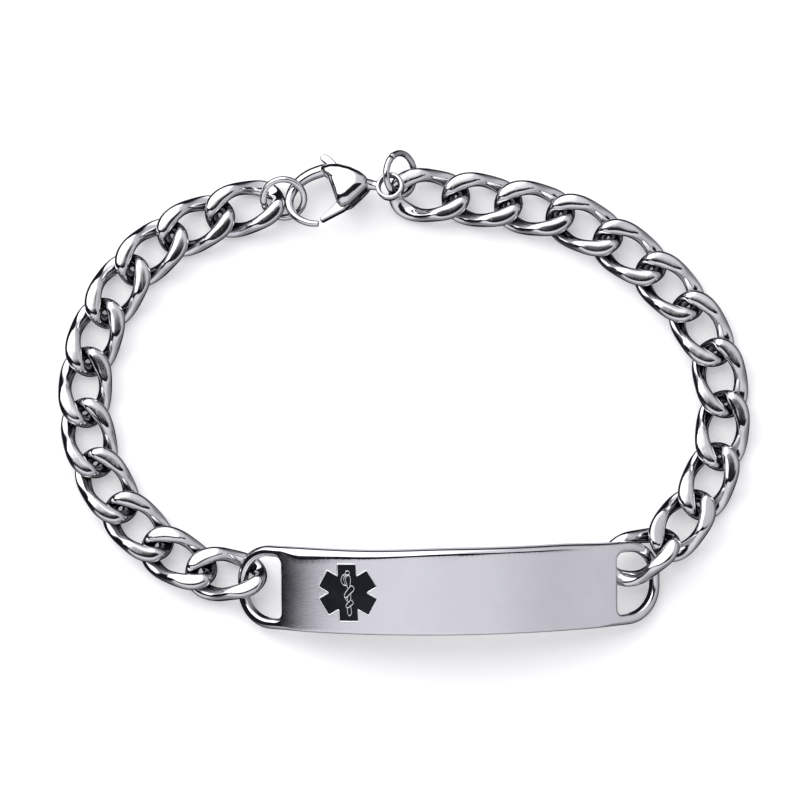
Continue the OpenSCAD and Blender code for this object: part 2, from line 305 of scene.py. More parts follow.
STEEL = (0.66, 0.655, 0.67)
STEEL_D = (0.58, 0.575, 0.595)
polished = metal("polished_steel", STEEL, STEEL_D, 0.07, 0.02, bump=0.0000005, bump_scale=700.0, wave=0.000006, wave_scale=330.0)
facet = metal("ground_facet", (0.62, 0.615, 0.63), (0.53, 0.525, 0.54), 0.12, 0.03, bump=0.0000012, bump_scale=1500.0, scratch=0.08, wave=0.000014, wave_scale=420.0)
satin = metal("satin_plate", (0.67, 0.665, 0.70), (0.64, 0.635, 0.67), 0.15, 0.02, bump=0.0000016, lines=(500.0, 5200.0, 3000.0), scratch=0.0, painted_shade_floor=0.5)
plate_edge = metal("polished_plate_edge", (0.66, 0.655, 0.68), (0.60, 0.595, 0.62), 0.085, 0.025, bump=0.0000006, wave=0.000008, wave_scale=240.0)
ring_steel = metal("polished_wire", (0.64, 0.64, 0.66), (0.56, 0.56, 0.58), 0.13, 0.03, bump=0.0000010, lines=(900.0, 900.0, 2600.0))
clasp_steel = metal("polished_casting", STEEL, STEEL_D, 0.085, 0.025, bump=0.0000006, wave=0.000012, wave_scale=260.0)
line_silver = metal("enamel_line", (0.80, 0.80, 0.82), (0.70, 0.70, 0.73), 0.22, 0.05, bump=0.0000008, scratch=0.05)


# painted highlight: the border's steel is much lighter than the plate's, so the pocket's lip shows as a white line
glint_border_steel = metal("painted_glint_border", (0.93, 0.93, 0.95), (0.86, 0.86, 0.89), 0.42, 0.05, bump=0.0000008, scratch=0.02, painted_shade_floor=0.6)


def enamel_material():
    m = bpy.data.materials.new("black_enamel")
    m.use_nodes = True
    t = Tree(m.node_tree)
    b = m.node_tree.nodes["Principled BSDF"]
    co = t.node("ShaderNodeTexCoord").outputs["Object"]
    n1, n2 = t.noise(co, 420.0, 3.0), t.noise(co, 3200.0, 2.0)
    t.put(b.inputs["Base Color"], t.mix(t.ramp(n1, 0.35, 0.65, 0, 1), (0.004, 0.006, 0.009, 1), (0.009, 0.012, 0.016, 1)))
    t.put(b.inputs["Roughness"], t.math("ADD", t.ramp(n1, 0.3, 0.7, 0.20, 0.30), t.ramp(n2, 0.55, 0.75, 0.0, 0.10)))
    b.inputs["Specular IOR Level"].default_value = 0.12
    bump = t.node("ShaderNodeBump")
    bump.inputs["Distance"].default_value = 0.000004
    t.put(bump.inputs["Height"], n1)
    t.put(b.inputs["Normal"], bump.outputs["Normal"])
    return m


enamel = enamel_material()

# -------------------------------------------------------------------- links
LINK_LEN, LINK_WID, LINK_H = 9.68, 6.34, 3.0
WIRE_END, WIRE_MID, WIRE_LOBE, TWIST = 1.60, 1.58, 1.96, 1.05
LA, LB, LZ = (LINK_LEN - WIRE_END) / 2, (LINK_WID - WIRE_MID) / 2, LINK_H / 2
LN_P, LP, LS, HH_LOBE, HH_MID, CROWN = 1.95, 0.25, 2.1, 0.78, 1.05, 0.008
# Columns: heading, roll, pitch, lift, shift x, shift y.
LEFT = [[-165, 0, 0, 0, 0, 0], [-156.5, 0, 0, 0, 0, 0], [-140, 0, 0, 0, 0, 0], [-122, 0, 0, 0, 0, 0],
        [-109, 0, 0, 0, 0, 0], [-93, 0, 0, 0, 0, 0], [-78, 0, 0, 0, 0, 0], [-61, 0, 0, 0, 0, 0],
        [-45, 0, 0, 0, 0, 0], [-31, -4.2, -3.4, 0.19, -0.05, -0.06], [-4, -7.3, -1.4, 0.30, -0.18, -0.06]]
RIGHT = [[-3, 0, 0, 0, 0, 0], [-8, 0, 0, 0, 0, 0], [-11, 0, 0, 0, 0, 0], [-27, 0, 0, 0, 0, 0], [-36, 0, 0, 0, 0, 0],
         [-46, 0, 0, 0, 0, 0], [-60, 0, 0, 0, 0, 0], [-79, 0, 0, 0, 0, 0], [-97, 0, 0, 0, 0, 0],
         [-113, 0.4, -0.1, 0.07, 0, 0], [-127, -2, -7.1, 0.61, -0.12, 0.18], [-158.5, 15.8, 4.2, 1.42, -0.02, 0.12]]
START_L, PITCH_L = np.array([-16.47, 22.36]), 6.15
START_R, PITCH_R = np.array([-0.86, 23.22]), 6.26


def link_path(t):
    return np.stack([LA * sp(np.cos(t), 2 / LN_P), LB * sp(np.sin(t), 2 / LN_P)], -1)


def link_mesh(seed):
    """One curb link: a twisted ring of oval wire whose lobes are ground nearly flat above and below."""
    g = np.random.default_rng(seed)
    n, side, top = 140, 14, 15
    t = np.arange(n) / n * 2 * math.pi
    c = link_path(t)
    d = link_path(t + 0.001) - link_path(t - 0.001)
    out = np.stack([d[:, 1], -d[:, 0]], 1) / np.linalg.norm(d, axis=1)[:, None]
    s = np.sin(2 * t)
    rise = -TWIST * s * (1 + LP - LP * s * s)
    k = s * s
    hw = (WIRE_END / 2 * np.cos(t) ** 2 + WIRE_MID / 2 * np.sin(t) ** 2) * (1 - k) + WIRE_LOBE / 2 * k
    hh = HH_LOBE + (HH_MID - HH_LOBE) * np.cos(2 * t) ** 2
    # the section's widest line lies below the middle of a lobe, which gives it broad round shoulders
    mid = rise - 0.28 * k * np.sign(rise)
    up_h = np.where(rise > 0, hh * (1 - k) + 0.80 * k, hh * (1 - k) + 0.50 * k)
    low_h = np.where(rise > 0, hh * (1 - k) + 0.50 * k, hh * (1 - k) + 0.80 * k)
    # the ground faces: a hair domed, crowned across the link and tilted, each link a little different
    dome, tilt_u, tilt_s = 0.022, g.uniform(-0.012, 0.012), g.uniform(-0.010, 0.010)
    lobe = ((t / (math.pi / 2)) % 1 - 0.5) * 5.2
    soft = 0.11

    def cut(u, i):
        y = c[i, 1] + out[i, 1] * u
        return LZ - 0.002 - dome * (u * u) - 0.006 * lobe[i] ** 2 - CROWN * (y * y) + tilt_u * (u - 1) + tilt_s * (lobe[i] - 1)

    def soft_min(a, b, w):
        f = np.clip(0.5 + 0.5 * (b - a) / w, 0, 1)
        return b + (a - b) * f - w * f * (1 - f)

    fine = np.linspace(0, math.pi / 2, 361)
    V, mark = [], []
    for i in range(n):
        lim = {}
        for up in (1, -1):
            h_side = up_h[i] if up > 0 else low_h[i]
            for outer in (1, -1):
                u = outer * hw[i] * sp(np.cos(fine), 2 / LS)
                v = mid[i] * up + h_side * sp(np.sin(fine), 2 / LS)
                over = np.nonzero(v > cut(u, i))[0]
                f = fine[over[0]] if len(over) else math.pi / 2
                lim[up, outer] = (min(f, math.radians(76)), bool(len(over)) and f < math.radians(76))
        f_out, f_in = lim[1, 1][0], math.pi - lim[1, -1][0]
        g_in, g_out = math.pi + lim[-1, -1][0], 2 * math.pi - lim[-1, 1][0]
        w = 0.03
        angles = np.concatenate([
            np.linspace(g_out - 2 * math.pi + w, f_out - w, side), np.linspace(f_out + w, f_in - w, top),
            np.linspace(f_in + w, g_in - w, side), np.linspace(g_in + w, g_out - w, top)])
        u = hw[i] * sp(np.cos(angles), 2 / LS)
        sn = np.sin(angles)
        v = mid[i] + np.where(sn > 0, up_h[i], low_h[i]) * sp(sn, 2 / LS)
        lim_z = cut(u, i)
        z = np.where(v > 0, soft_min(v, lim_z, soft), -soft_min(-v, lim_z, soft))
        V.append(np.c_[c[i, 0] + out[i, 0] * u, c[i, 1] + out[i, 1] * u, z])
        flat_t, flat_b = lim[1, 1][1] and lim[1, -1][1], lim[-1, 1][1] and lim[-1, -1][1]
        mark.append([0] * side + [1 if flat_t else 0] * top + [0] * side + [1 if flat_b else 0] * top)
    m = 2 * side + 2 * top
    V = np.concatenate(V)
    mark = np.array(mark)
    F = grid_faces(n, m)
    ids = []
    for i in range(n):
        for j in range(m):
            i2, j2 = (i + 1) % n, (j + 1) % m
            ids.append(1 if mark[i, j] and mark[i, j2] and mark[i2, j] and mark[i2, j2] else 0)
    return V, F, ids


def lay_run(run, pitch, start, tag):
    joint = start.copy()
    for k, (h, roll, pit, lift, sx, sy) in enumerate(run):
        a = math.radians(h)
        way = np.array([math.cos(a), math.sin(a)])
        c = joint + pitch / 2 * way + (sx, sy)
        joint = joint + pitch * way
        V, F, ids = link_mesh(100 * (tag == "r") + k)
        R = rot("z", h) @ rot("x", roll) @ rot("y", pit)
        V = V @ R.T + SHIFT + (c[0], c[1], LZ + lift)
        node = "link_%s%02d" % (tag, k + 1)
        make("curb_" + node, V, F, [polished, facet], ids, node=node)


lay_run(LEFT, PITCH_L, START_L, "l")
lay_run(RIGHT, PITCH_R, START_R, "r")

# -------------------------------------------------------------------- plate
CHORD, P_W, P_T, LOOP_T, P_R, CORNER = 49.4, 9.85, 1.8, 1.3, 46.0, 4.3
BAR, HOLE_H, HOLE_L, LEAN = 1.05, 7.4, 4.85, 17.5
PLATE_AT, PLATE_TURN = np.array([4.54, -22.80, 1.34]), 0.7
HALF = CHORD / 2
BOW = P_R - math.sqrt(P_R ** 2 - HALF ** 2)
END_ANG = math.asin(HALF / P_R)
ARC = P_R * END_ANG
R_UNDER = P_R - P_T / 2
TOP_Z = P_R + P_T / 2
_t = P_R + LOOP_T - P_T / 2
TX, TZ = _t * math.sin(END_ANG), _t * math.cos(END_ANG)
R_OVER = (TX ** 2 + (TOP_Z - TZ) ** 2) / (2 * (TOP_Z - TZ))
C0 = TOP_Z - R_OVER
EMB_A = -math.asin(11.9 / TOP_Z)
R_PLATE = rot("z", PLATE_TURN) @ rot("x", LEAN)


def top_radius(s):
    a = s / P_R
    return C0 * math.cos(a) + math.sqrt(R_OVER ** 2 - (C0 * math.sin(a)) ** 2)


def bend(V):
    """Wraps flat (arc length, across, radius) points round the plate's bend and lays the plate in its place."""
    a = V[:, 0] / P_R
    Q = np.c_[V[:, 2] * np.sin(a), V[:, 1], V[:, 2] * np.cos(a) + BOW - P_R]
    return Q @ R_PLATE.T + PLATE_AT + SHIFT


def round_rect(l, h, r, k=14):
    out = []
    for cx, cy, a0 in ((l - r, h - r, 0), (-l + r, h - r, 90), (-l + r, -h + r, 180), (l - r, -h + r, 270)):
        for i in range(k + 1):
            a = math.radians(a0 + 90 * i / k)
            out.append((cx + r * math.cos(a), cy + r * math.sin(a)))
    return np.array(out)


def dee(side):
    ri, ro, l, h = 0.75, 3.3, HOLE_L, HOLE_H / 2
    out = []
    for cx, cy, r, a0, k in ((l - ro, h - ro, ro, 0, 12), (ri, h - ri, ri, 90, 5), (ri, -h + ri, ri, 180, 5), (l - ro, -h + ro, ro, 270, 12)):
        for i in range(k + 1):
            a = math.radians(a0 + 90 * i / k)
            out.append((cx + r * math.cos(a), cy + r * math.sin(a)))
    P = np.array(out) + (ARC - BAR - HOLE_L, 0)
    if side:
        P = -P
    return P[::-1]


STAR_S = P_R * EMB_A  # arc place of the emblem's centre


def star(span, bar, r):
    """The six-bar star's outline, counter-clockwise, with corners rounded to r."""
    P = []
    h = bar / 2
    inner = h / math.sin(math.radians(30))
    for i in range(6):
        a = math.radians(30 + 60 * i)
        u, v = np.array([math.cos(a), math.sin(a)]), np.array([-math.sin(a), math.cos(a)])
        P += [u * span / 2 - v * h, u * span / 2 + v * h]
        b = math.radians(60 + 60 * i)
        P.append(np.array([math.cos(b), math.sin(b)]) * inner)
    return rounded(P, r, 4)


def plate_top_with_pocket():
    """Rebuilds the plate with the star pocket sunk in its upper face."""
    hole_s = ARC - BAR - HOLE_L
    step = 0.30
    tilt = rot("z", 1.9)[:2, :2]
    outer = resample(round_rect(ARC, P_W / 2, CORNER), step)
    # the far edge swells a little right of the middle
    for p in outer:
        if p[1] > 0.45 * P_W:
            p[1] += 0.30 * smooth_step(p[0], -11.0, 1.0) * (1 - smooth_step(p[0], 13.0, 20.5))
    D = [resample(dee(0), 0.25), resample(dee(1), 0.25)]
    pocket = resample(star(6.66, 2.14, 0.10), 0.085) @ tilt.T + (STAR_S, 0)

    def r_top(li, p):
        if li:
            return (0.42 if p[0] < 0 else 0.30) + (0.04 if p[0] < 0 else 0.16) * smooth_step(abs(p[0]), hole_s, hole_s + 0.9)
        if abs(p[0]) > hole_s:
            return 0.50
        if p[1] > 0:
            w = 1.00 - 0.40 * smooth_step(p[0], -17.0, 9.0) + 0.35 * (1 - smooth_step(p[0], -20.0, -12.0))
            return 0.50 + (w - 0.50) * smooth_step(hole_s - abs(p[0]), 0, 2.5)
        return 0.22 + 0.28 * smooth_step(abs(p[0]), hole_s - 3.0, hole_s)

    def r_bot(li, p):
        return 0.40 if abs(p[0]) > hole_s else 0.25

    K = 7
    V, F, mark = [], [], []
    rim_t, rim_b = [], []
    for li, P in enumerate([outer, *D]):
        N = inward(P)
        rt, rb = np.array([r_top(li, p) for p in P]), np.array([r_bot(li, p) for p in P])
        rows = []
        for k in range(K + 1):
            a = math.pi / 2 * k / K
            q = P + N * (rb * (1 - math.sin(a)))[:, None]
            rows.append(np.c_[q, R_UNDER + rb * (1 - math.cos(a))])
        for k in range(K + 1):
            a = math.pi / 2 * k / K
            q = P + N * (rt * (1 - math.cos(a)))[:, None]
            h = np.array([top_radius(x) for x in q[:, 0]]) - np.minimum(rt, 0.62) * (1 - math.sin(a))
            rows.append(np.c_[q, h])
        base, n = len(V), len(P)
        for r in rows:
            V.extend(map(tuple, r))
        for k in range(len(rows) - 1):
            for i in range(n):
                a, b = base + k * n + i, base + k * n + (i + 1) % n
                F.append((a, b, b + n, a + n))
                mark.append(1)
        rim_b.append(list(range(base, base + n)))
        rim_t.append(list(range(base + (len(rows) - 1) * n, base + len(rows) * n)))
    # pocket: lip, wall and floor
    Np = inward(pocket[::-1])[::-1]
    rows = []
    for k in range(4):
        a = math.pi / 2 * k / 3
        q = pocket + Np * (0.045 * (1 - math.sin(a)))
        h = np.array([top_radius(x) for x in q[:, 0]]) - 0.045 * (1 - math.cos(a))
        rows.append(np.c_[q, h])
    rows.append(np.c_[pocket, np.array([top_radius(x) for x in pocket[:, 0]]) - 0.27])
    base, n = len(V), len(pocket)
    for r in rows:
        V.extend(map(tuple, r))
    for k in range(len(rows) - 1):
        for i in range(n):
            a, b = base + k * n + i, base + k * n + (i + 1) % n
            F.append((a, b, b + n, a + n))
            mark.append(1)
    lip, floor_rim = list(range(base, base + n)), list(range(base + (len(rows) - 1) * n, base + len(rows) * n))

    def fill(rims, height, m, flip, grid):
        loopsA = [np.array([V[i][:2] for i in r]) for r in rims]
        pts = [Vector(p) for L in loopsA for p in L]
        ids = [i for r in rims for i in r]
        edges, s = [], 0
        for r in rims:
            edges += [(s + i, s + (i + 1) % len(r)) for i in range(len(r))]
            s += len(r)
        A = loopsA[0]
        lo, hi = A.min(0), A.max(0)
        gx, gy = np.meshgrid(np.arange(lo[0] + grid / 2, hi[0], grid), np.arange(lo[1] + grid / 2, hi[1], grid))
        G = np.c_[gx.ravel(), gy.ravel()]
        G = G[inside(G, loopsA, grid * 0.45)]
        pts += [Vector(p) for p in G]
        vs, _, fs, orig, _, _ = delaunay_2d_cdt(pts, edges, [], 0, 1e-8)
        C = np.array([np.mean([vs[i][:] for i in f], axis=0) for f in fs])
        keep = inside(C, loopsA, 0.0)
        where = {}
        for i, o in enumerate(orig):
            k = min(o) if len(o) else None
            if k is not None and k < len(ids):
                where[i] = ids[k]
            else:
                x, y = vs[i][:]
                where[i] = len(V)
                V.append((x, y, height(x)))
        for f, ok in zip(fs, keep):
            if not ok:
                continue
            g = [where[i] for i in f]
            p = np.array([V[i][:2] for i in g])
            area = (p[1][0] - p[0][0]) * (p[2][1] - p[0][1]) - (p[1][1] - p[0][1]) * (p[2][0] - p[0][0])
            F.append(tuple(g[::-1] if (area < 0) != flip else g))
            mark.append(m)

    fill([*rim_t, lip], top_radius, 0, False, 0.62)
    fill(rim_b, lambda x: R_UNDER, 2, True, 0.8)
    fill([floor_rim], lambda x: top_radius(x) - 0.27, 3, False, 0.4)
    V = np.array(V)
    centre = np.array([V[list(f), 0].mean() for f in F])
    ids = [0 if (m == 0 and abs(c) < hole_s - 0.05) else 1 for m, c in zip(mark, centre)]
    return bend(V), F, ids


V, F, ids = plate_top_with_pocket()
make("id_plate", V, F, [satin, plate_edge], ids, node="plate")

# ------------------------------------------------------------------- emblem
# The lines of the rod and the serpent, in millimetres from the star's centre. Columns: x, y.
STROKES = {
    "knob": [(0.32, 2.35), (0.24, 2.17), (0.06, 2.10), (-0.10, 2.17), (-0.17, 2.35), (-0.09, 2.53), (0.09, 2.61), (0.26, 2.53), (0.32, 2.35)],
    "rod_top": [(0.17, 2.08), (-0.01, 1.97), (-0.19, 1.68), (-0.13, 1.31), (-0.03, 0.90), (-0.03, 0.63), (0.06, 0.40)],
    "rod_side": [(0.17, 2.08), (0.34, 1.95), (0.40, 1.63), (0.37, 1.27), (0.32, 0.86)],
    "rod_mid_a": [(-0.02, -0.47), (-0.06, -0.74), (-0.07, -1.06)],
    "rod_mid_b": [(0.34, -0.10), (0.34, -0.47), (0.31, -0.88)],
    "foot": [(-0.12, -1.77), (-0.13, -2.29), (-0.04, -2.61), (0.10, -2.72), (0.27, -2.59), (0.35, -2.34), (0.31, -1.65)],
    "curl": [(-0.12, 2.57), (-0.21, 2.23), (-0.52, 2.04), (-0.73, 1.59), (-0.66, 1.18), (-0.41, 0.91), (-0.08, 0.86)],
    "curl_in": [(0.00, 2.18), (-0.24, 1.97), (-0.41, 1.68), (-0.35, 1.36), (-0.22, 0.99)],
    "coil_a": [(0.43, 0.85), (0.68, 0.72), (0.78, 0.49), (0.64, 0.19), (0.27, -0.15), (-0.08, -0.49), (-0.29, -0.56), (-0.43, -0.38), (-0.33, -0.08), (-0.04, 0.31), (0.43, 0.85)],
    "behind": [(-0.39, -0.53), (-0.25, -0.76), (-0.08, -1.06)],
    "coil_b": [(0.35, -0.81), (0.57, -1.05), (0.59, -1.27), (0.32, -1.54), (-0.06, -1.79), (-0.27, -1.63), (-0.22, -1.40), (0.03, -1.15), (0.35, -0.81)],
}


def emblem_pieces():
    tilt = rot("z", 1.9)[:2, :2]
    outline = resample(star(6.60, 2.08, 0.10), 0.11) @ tilt.T + (STAR_S, 0)
    n = len(outline)
    N = inward(outline)
    V, F = [], []
    rows = [(0.0, -0.235), (0.0, -0.045), (0.012, -0.03), (0.05, -0.022), (0.12, -0.02)]
    for d, h in rows:
        q = outline + N * d
        V.extend(map(tuple, np.c_[q, np.array([top_radius(x) for x in q[:, 0]]) + h]))
    for k in range(len(rows) - 1):
        for i in range(n):
            a, b = k * n + i, k * n + (i + 1) % n
            F.append((a, b, b + n, a + n))
    for rim, h, flip in ((list(range((len(rows) - 1) * n, len(rows) * n)), -0.02, False), (list(range(n)), -0.235, True)):
        A = np.array([V[i][:2] for i in rim])
        lo, hi = A.min(0), A.max(0)
        gx, gy = np.meshgrid(np.arange(lo[0], hi[0], 0.35), np.arange(lo[1], hi[1], 0.35))
        G = np.c_[gx.ravel(), gy.ravel()]
        G = G[inside(G, [A], 0.14)]
        pts = [Vector(p) for p in A] + [Vector(p) for p in G]
        vs, _, fs, orig, _, _ = delaunay_2d_cdt(pts, [(i, (i + 1) % n) for i in range(n)], [], 0, 1e-8)
        C = np.array([np.mean([vs[i][:] for i in f], axis=0) for f in fs])
        keep = inside(C, [A], 0.0)
        where = {}
        for i, o in enumerate(orig):
            k = min(o) if len(o) else None
            if k is not None and k < n:
                where[i] = rim[k]
            else:
                x, y = vs[i][:]
                where[i] = len(V)
                V.append((x, y, top_radius(x) + h))
        for f, ok in zip(fs, keep):
            if ok:
                g = [where[i] for i in f]
                p = np.array([V[i][:2] for i in g])
                area = (p[1][0] - p[0][0]) * (p[2][1] - p[0][1]) - (p[1][1] - p[0][1]) * (p[2][0] - p[0][0])
                F.append(tuple(g[::-1] if (area < 0) != flip else g))
    make("emblem_enamel", bend(np.array(V)), F, enamel, node="emblem")
    # a thin border on the pocket's polished lip, its steel lighter and rougher than the plate's: partly the lip's real
    # bare steel, partly a painted highlight for its glint
    rim = resample(star(6.80, 2.28, 0.12), 0.09) @ tilt.T + (STAR_S, 0)
    N = inward(rim)
    prof = [(-0.075, -0.045), (-0.060, 0.004), (0.0, 0.012), (0.060, 0.004), (0.075, -0.045)]
    V = []
    for u, h in prof:
        q = rim + N * u
        V.extend(map(tuple, np.c_[q, np.array([top_radius(x) for x in q[:, 0]]) + h]))
    n = len(rim)
    F = [(k * n + i, k * n + (i + 1) % n, ((k + 1) % 5) * n + (i + 1) % n, ((k + 1) % 5) * n + i) for k in range(5) for i in range(n)]
    make("emblem_border", bend(np.array(V)), F, glint_border_steel)
    # raised silver lines
    V, F = [], []
    for name, P in STROKES.items():
        C = catmull(P, 7)
        C = C @ tilt.T + (STAR_S, 0)
        d = np.gradient(C, axis=0)
        d /= np.linalg.norm(d, axis=1)[:, None]
        nn = np.c_[-d[:, 1], d[:, 0]]
        prof = [(-1, -0.045), (-0.8, 0.010), (0, 0.022), (0.8, 0.010), (1, -0.045)]
        base, m, r = len(V), len(prof), 0.062
        C = np.vstack([C[0] - d[0] * r * 0.6, C[1:-1], C[-1] + d[-1] * r * 0.6])
        for i, p in enumerate(C):
            w = r * (0.55 if i in (0, len(C) - 1) else 1)
            for u, h in prof:
                q = p + nn[i] * u * w
                V.append((q[0], q[1], top_radius(q[0]) - 0.02 + h * 0.9))
        for i in range(len(C) - 1):
            for j in range(m):
                a, b = base + i * m + j, base + i * m + (j + 1) % m
                F.append((a, a + m, b + m, b))
        F.append(tuple(base + j for j in range(m)))
        F.append(tuple(base + (len(C) - 1) * m + j for j in range(m))[::-1])
    V = np.array(V)
    make("emblem_lines", bend(V), F, line_silver, weighted=True)


emblem_pieces()

# ---------------------------------------------------------------- jump rings
WIRE = 0.76


def jump_ring(name, d, at, spin, tilt, gap_at, seed):
    """A ring of round wire, cut once; its two ends are flat, with the edges just broken."""
    n, m = 150, 28
    r = WIRE / 2
    a = np.radians(np.linspace(0, 357.5, n))
    shrink = np.ones(n)
    shrink[0] = shrink[-1] = 0.90
    f = np.arange(m) / m * 2 * math.pi
    V = []
    for i in range(n):
        cx = d / 2 + r * shrink[i] * np.cos(f)
        V.append(np.c_[cx * math.cos(a[i]), cx * math.sin(a[i]), r * shrink[i] * np.sin(f)])
    # the ends: pull the second ring close to the end, so that the break is a fine edge
    swell = np.exp(-((np.minimum(np.arange(n), n - 1 - np.arange(n)) - 3.0) / 2.6) ** 2) * 0.10
    for i in (*range(2, 9), *range(n - 9, n - 2)):
        cx = d / 2 + r * (1 + swell[i]) * np.cos(f)
        V[i] = np.c_[cx * math.cos(a[i]), cx * math.sin(a[i]), r * (1 + swell[i]) * np.sin(f)]
    V[1] = V[1] * 0 + np.c_[(d / 2 + r * np.cos(f)) * math.cos(a[0] + 0.012), (d / 2 + r * np.cos(f)) * math.sin(a[0] + 0.012), r * np.sin(f)]
    V[-2] = np.c_[(d / 2 + r * np.cos(f)) * math.cos(a[-1] - 0.012), (d / 2 + r * np.cos(f)) * math.sin(a[-1] - 0.012), r * np.sin(f)]
    V = np.concatenate(V)
    F = grid_faces(n, m, closed_n=False)
    F.append(tuple(range(m)))
    F.append(tuple(range((n - 1) * m, n * m))[::-1])
    R = rot("z", spin) @ rot("x", tilt) @ rot("z", gap_at)
    V = V @ R.T + SHIFT + at
    make(name, V, F, ring_steel, node=name.replace("wire_", ""))


jump_ring("wire_jump_ring_left", 4.82, (-14.88, 22.60, 2.16), -2, 30.4, 200, 1)
jump_ring("wire_jump_ring_right", 5.0, (-1.15, 25.33, 2.94), 84.2, 49.2, 51, 2)

# -------------------------------------------------------------------- clasp
CLASP_AT = np.array([-7.65, 23.62, 3.05])
R_CLASP = rot("z", 6.8) @ rot("x", -11) @ rot("y", -9)
EYE = np.array([5.35, -0.72])
EYE_D, EYE_HOLE, EYE_H = 3.4, 2.25, 1.15
CLASP_HH, LEVER_T, LEVER_GAP = 2.05, 1.10, 0.08
SLOT_Z = LEVER_T / 2 + LEVER_GAP
# Outline of the domed body. Columns: x, y.
BODY = [[-2.80, 2.80], [-1.50, 3.10], [-0.30, 2.88], [1.12, 2.22], [2.2, 1.45], [2.85, 0.70], [2.85, -0.45],
        [1.60, -1.45], [0.45, -2.25], [-0.50, -2.45], [-1.05, -1.97], [-1.42, -0.11], [-1.81, 1.60]]
# Centreline of the hook. Columns: x, y, wire diameter.
HOOK = [[-1.60, 2.62, 1.50], [-2.25, 2.70, 1.50], [-2.95, 2.62, 1.50], [-3.80, 2.44, 1.47], [-4.65, 2.12, 1.40],
        [-5.40, 1.68, 1.32], [-6.05, 1.06, 1.23], [-6.53, 0.34, 1.14], [-6.79, -0.46, 1.06], [-6.77, -1.28, 0.98],
        [-6.42, -2.10, 0.91], [-5.80, -2.82, 0.85], [-4.98, -3.36, 0.79], [-4.30, -3.62, 0.75], [-3.66, -3.76, 0.70]]


def on_clasp(V):
    return np.asarray(V, float) @ R_CLASP.T + CLASP_AT + SHIFT


def dome(sign):
    """Half of the body: a pillow over the outline, its foot at the lever's slot."""
    P = resample(rounded(BODY, 0.45, 5), 0.14)
    c = np.array([0.15, 0.55])
    n = len(P)
    h = CLASP_HH - SLOT_Z
    rows = [(0.975, 0.0), (1.0, 0.03)]
    for a in np.radians([6, 16, 26, 36, 45, 54, 62, 70, 77, 84]):
        rows.append((math.cos(a) ** 0.62 if a < 1.5 else 0.0, 0.10 + 0.90 * math.sin(a) ** 0.95))
    V, F = [], []
    for k, z in rows:
        q = c + (P - c) * k
        # the outline softens towards the middle, so that its corners fade out
        soft = np.mean([np.roll(q, j, 0) for j in range(-7, 8)], axis=0)
        f = smooth_step(1 - k, 0.05, 0.6)
        q = q * (1 - f) + soft * f
        V.extend([(x, y, sign * (SLOT_Z + h * z)) for x, y in q])
    for k in range(len(rows) - 1):
        for i in range(n):
            a, b = k * n + i, k * n + (i + 1) % n
            F.append((a, b, b + n, a + n) if sign > 0 else (a, a + n, b + n, b))
    top = len(V)
    V.append((*c, sign * (SLOT_Z + h * 1.004)))
    V.append((*c, sign * SLOT_Z))
    last = (len(rows) - 1) * n
    for i in range(n):
        a, b = last + i, last + (i + 1) % n
        F.append((a, b, top) if sign > 0 else (b, a, top))
        a, b = i, (i + 1) % n
        F.append((b, a, top + 1) if sign > 0 else (a, b, top + 1))
    return np.array(V), F


def tube(C, r, m=24, squash_z=1.0, cap=True, power=2.0):
    """A tube in the plane z = 0 along the rows of C with radii r."""
    C = np.asarray(C, float)
    d = np.gradient(C, axis=0)
    d /= np.linalg.norm(d, axis=1)[:, None]
    f = np.arange(m) / m * 2 * math.pi
    V = []
    for p, t, q in zip(C, d, r):
        u, w = q * sp(np.cos(f), 2 / power), q * squash_z * sp(np.sin(f), 2 / power)
        V.append(np.c_[p[0] + t[1] * u, p[1] - t[0] * u, w])
    V = np.concatenate(V)
    F = grid_faces(len(C), m, closed_n=False)
    F = [g[::-1] for g in F]
    F.append(tuple(range(m)))
    F.append(tuple(range((len(C) - 1) * m, len(C) * m))[::-1])
    return V, F


def solid_object(name, V, F):
    me = bpy.data.meshes.new(name)
    me.from_pydata((np.asarray(V) * MM).tolist(), [], [tuple(int(i) for i in f) for f in F])
    bm = bmesh.new()
    bm.from_mesh(me)
    bmesh.ops.recalc_face_normals(bm, faces=bm.faces)
    bm.to_mesh(me)
    bm.free()
    ob = bpy.data.objects.new(name, me)
    bpy.context.scene.collection.objects.link(ob)
    return ob


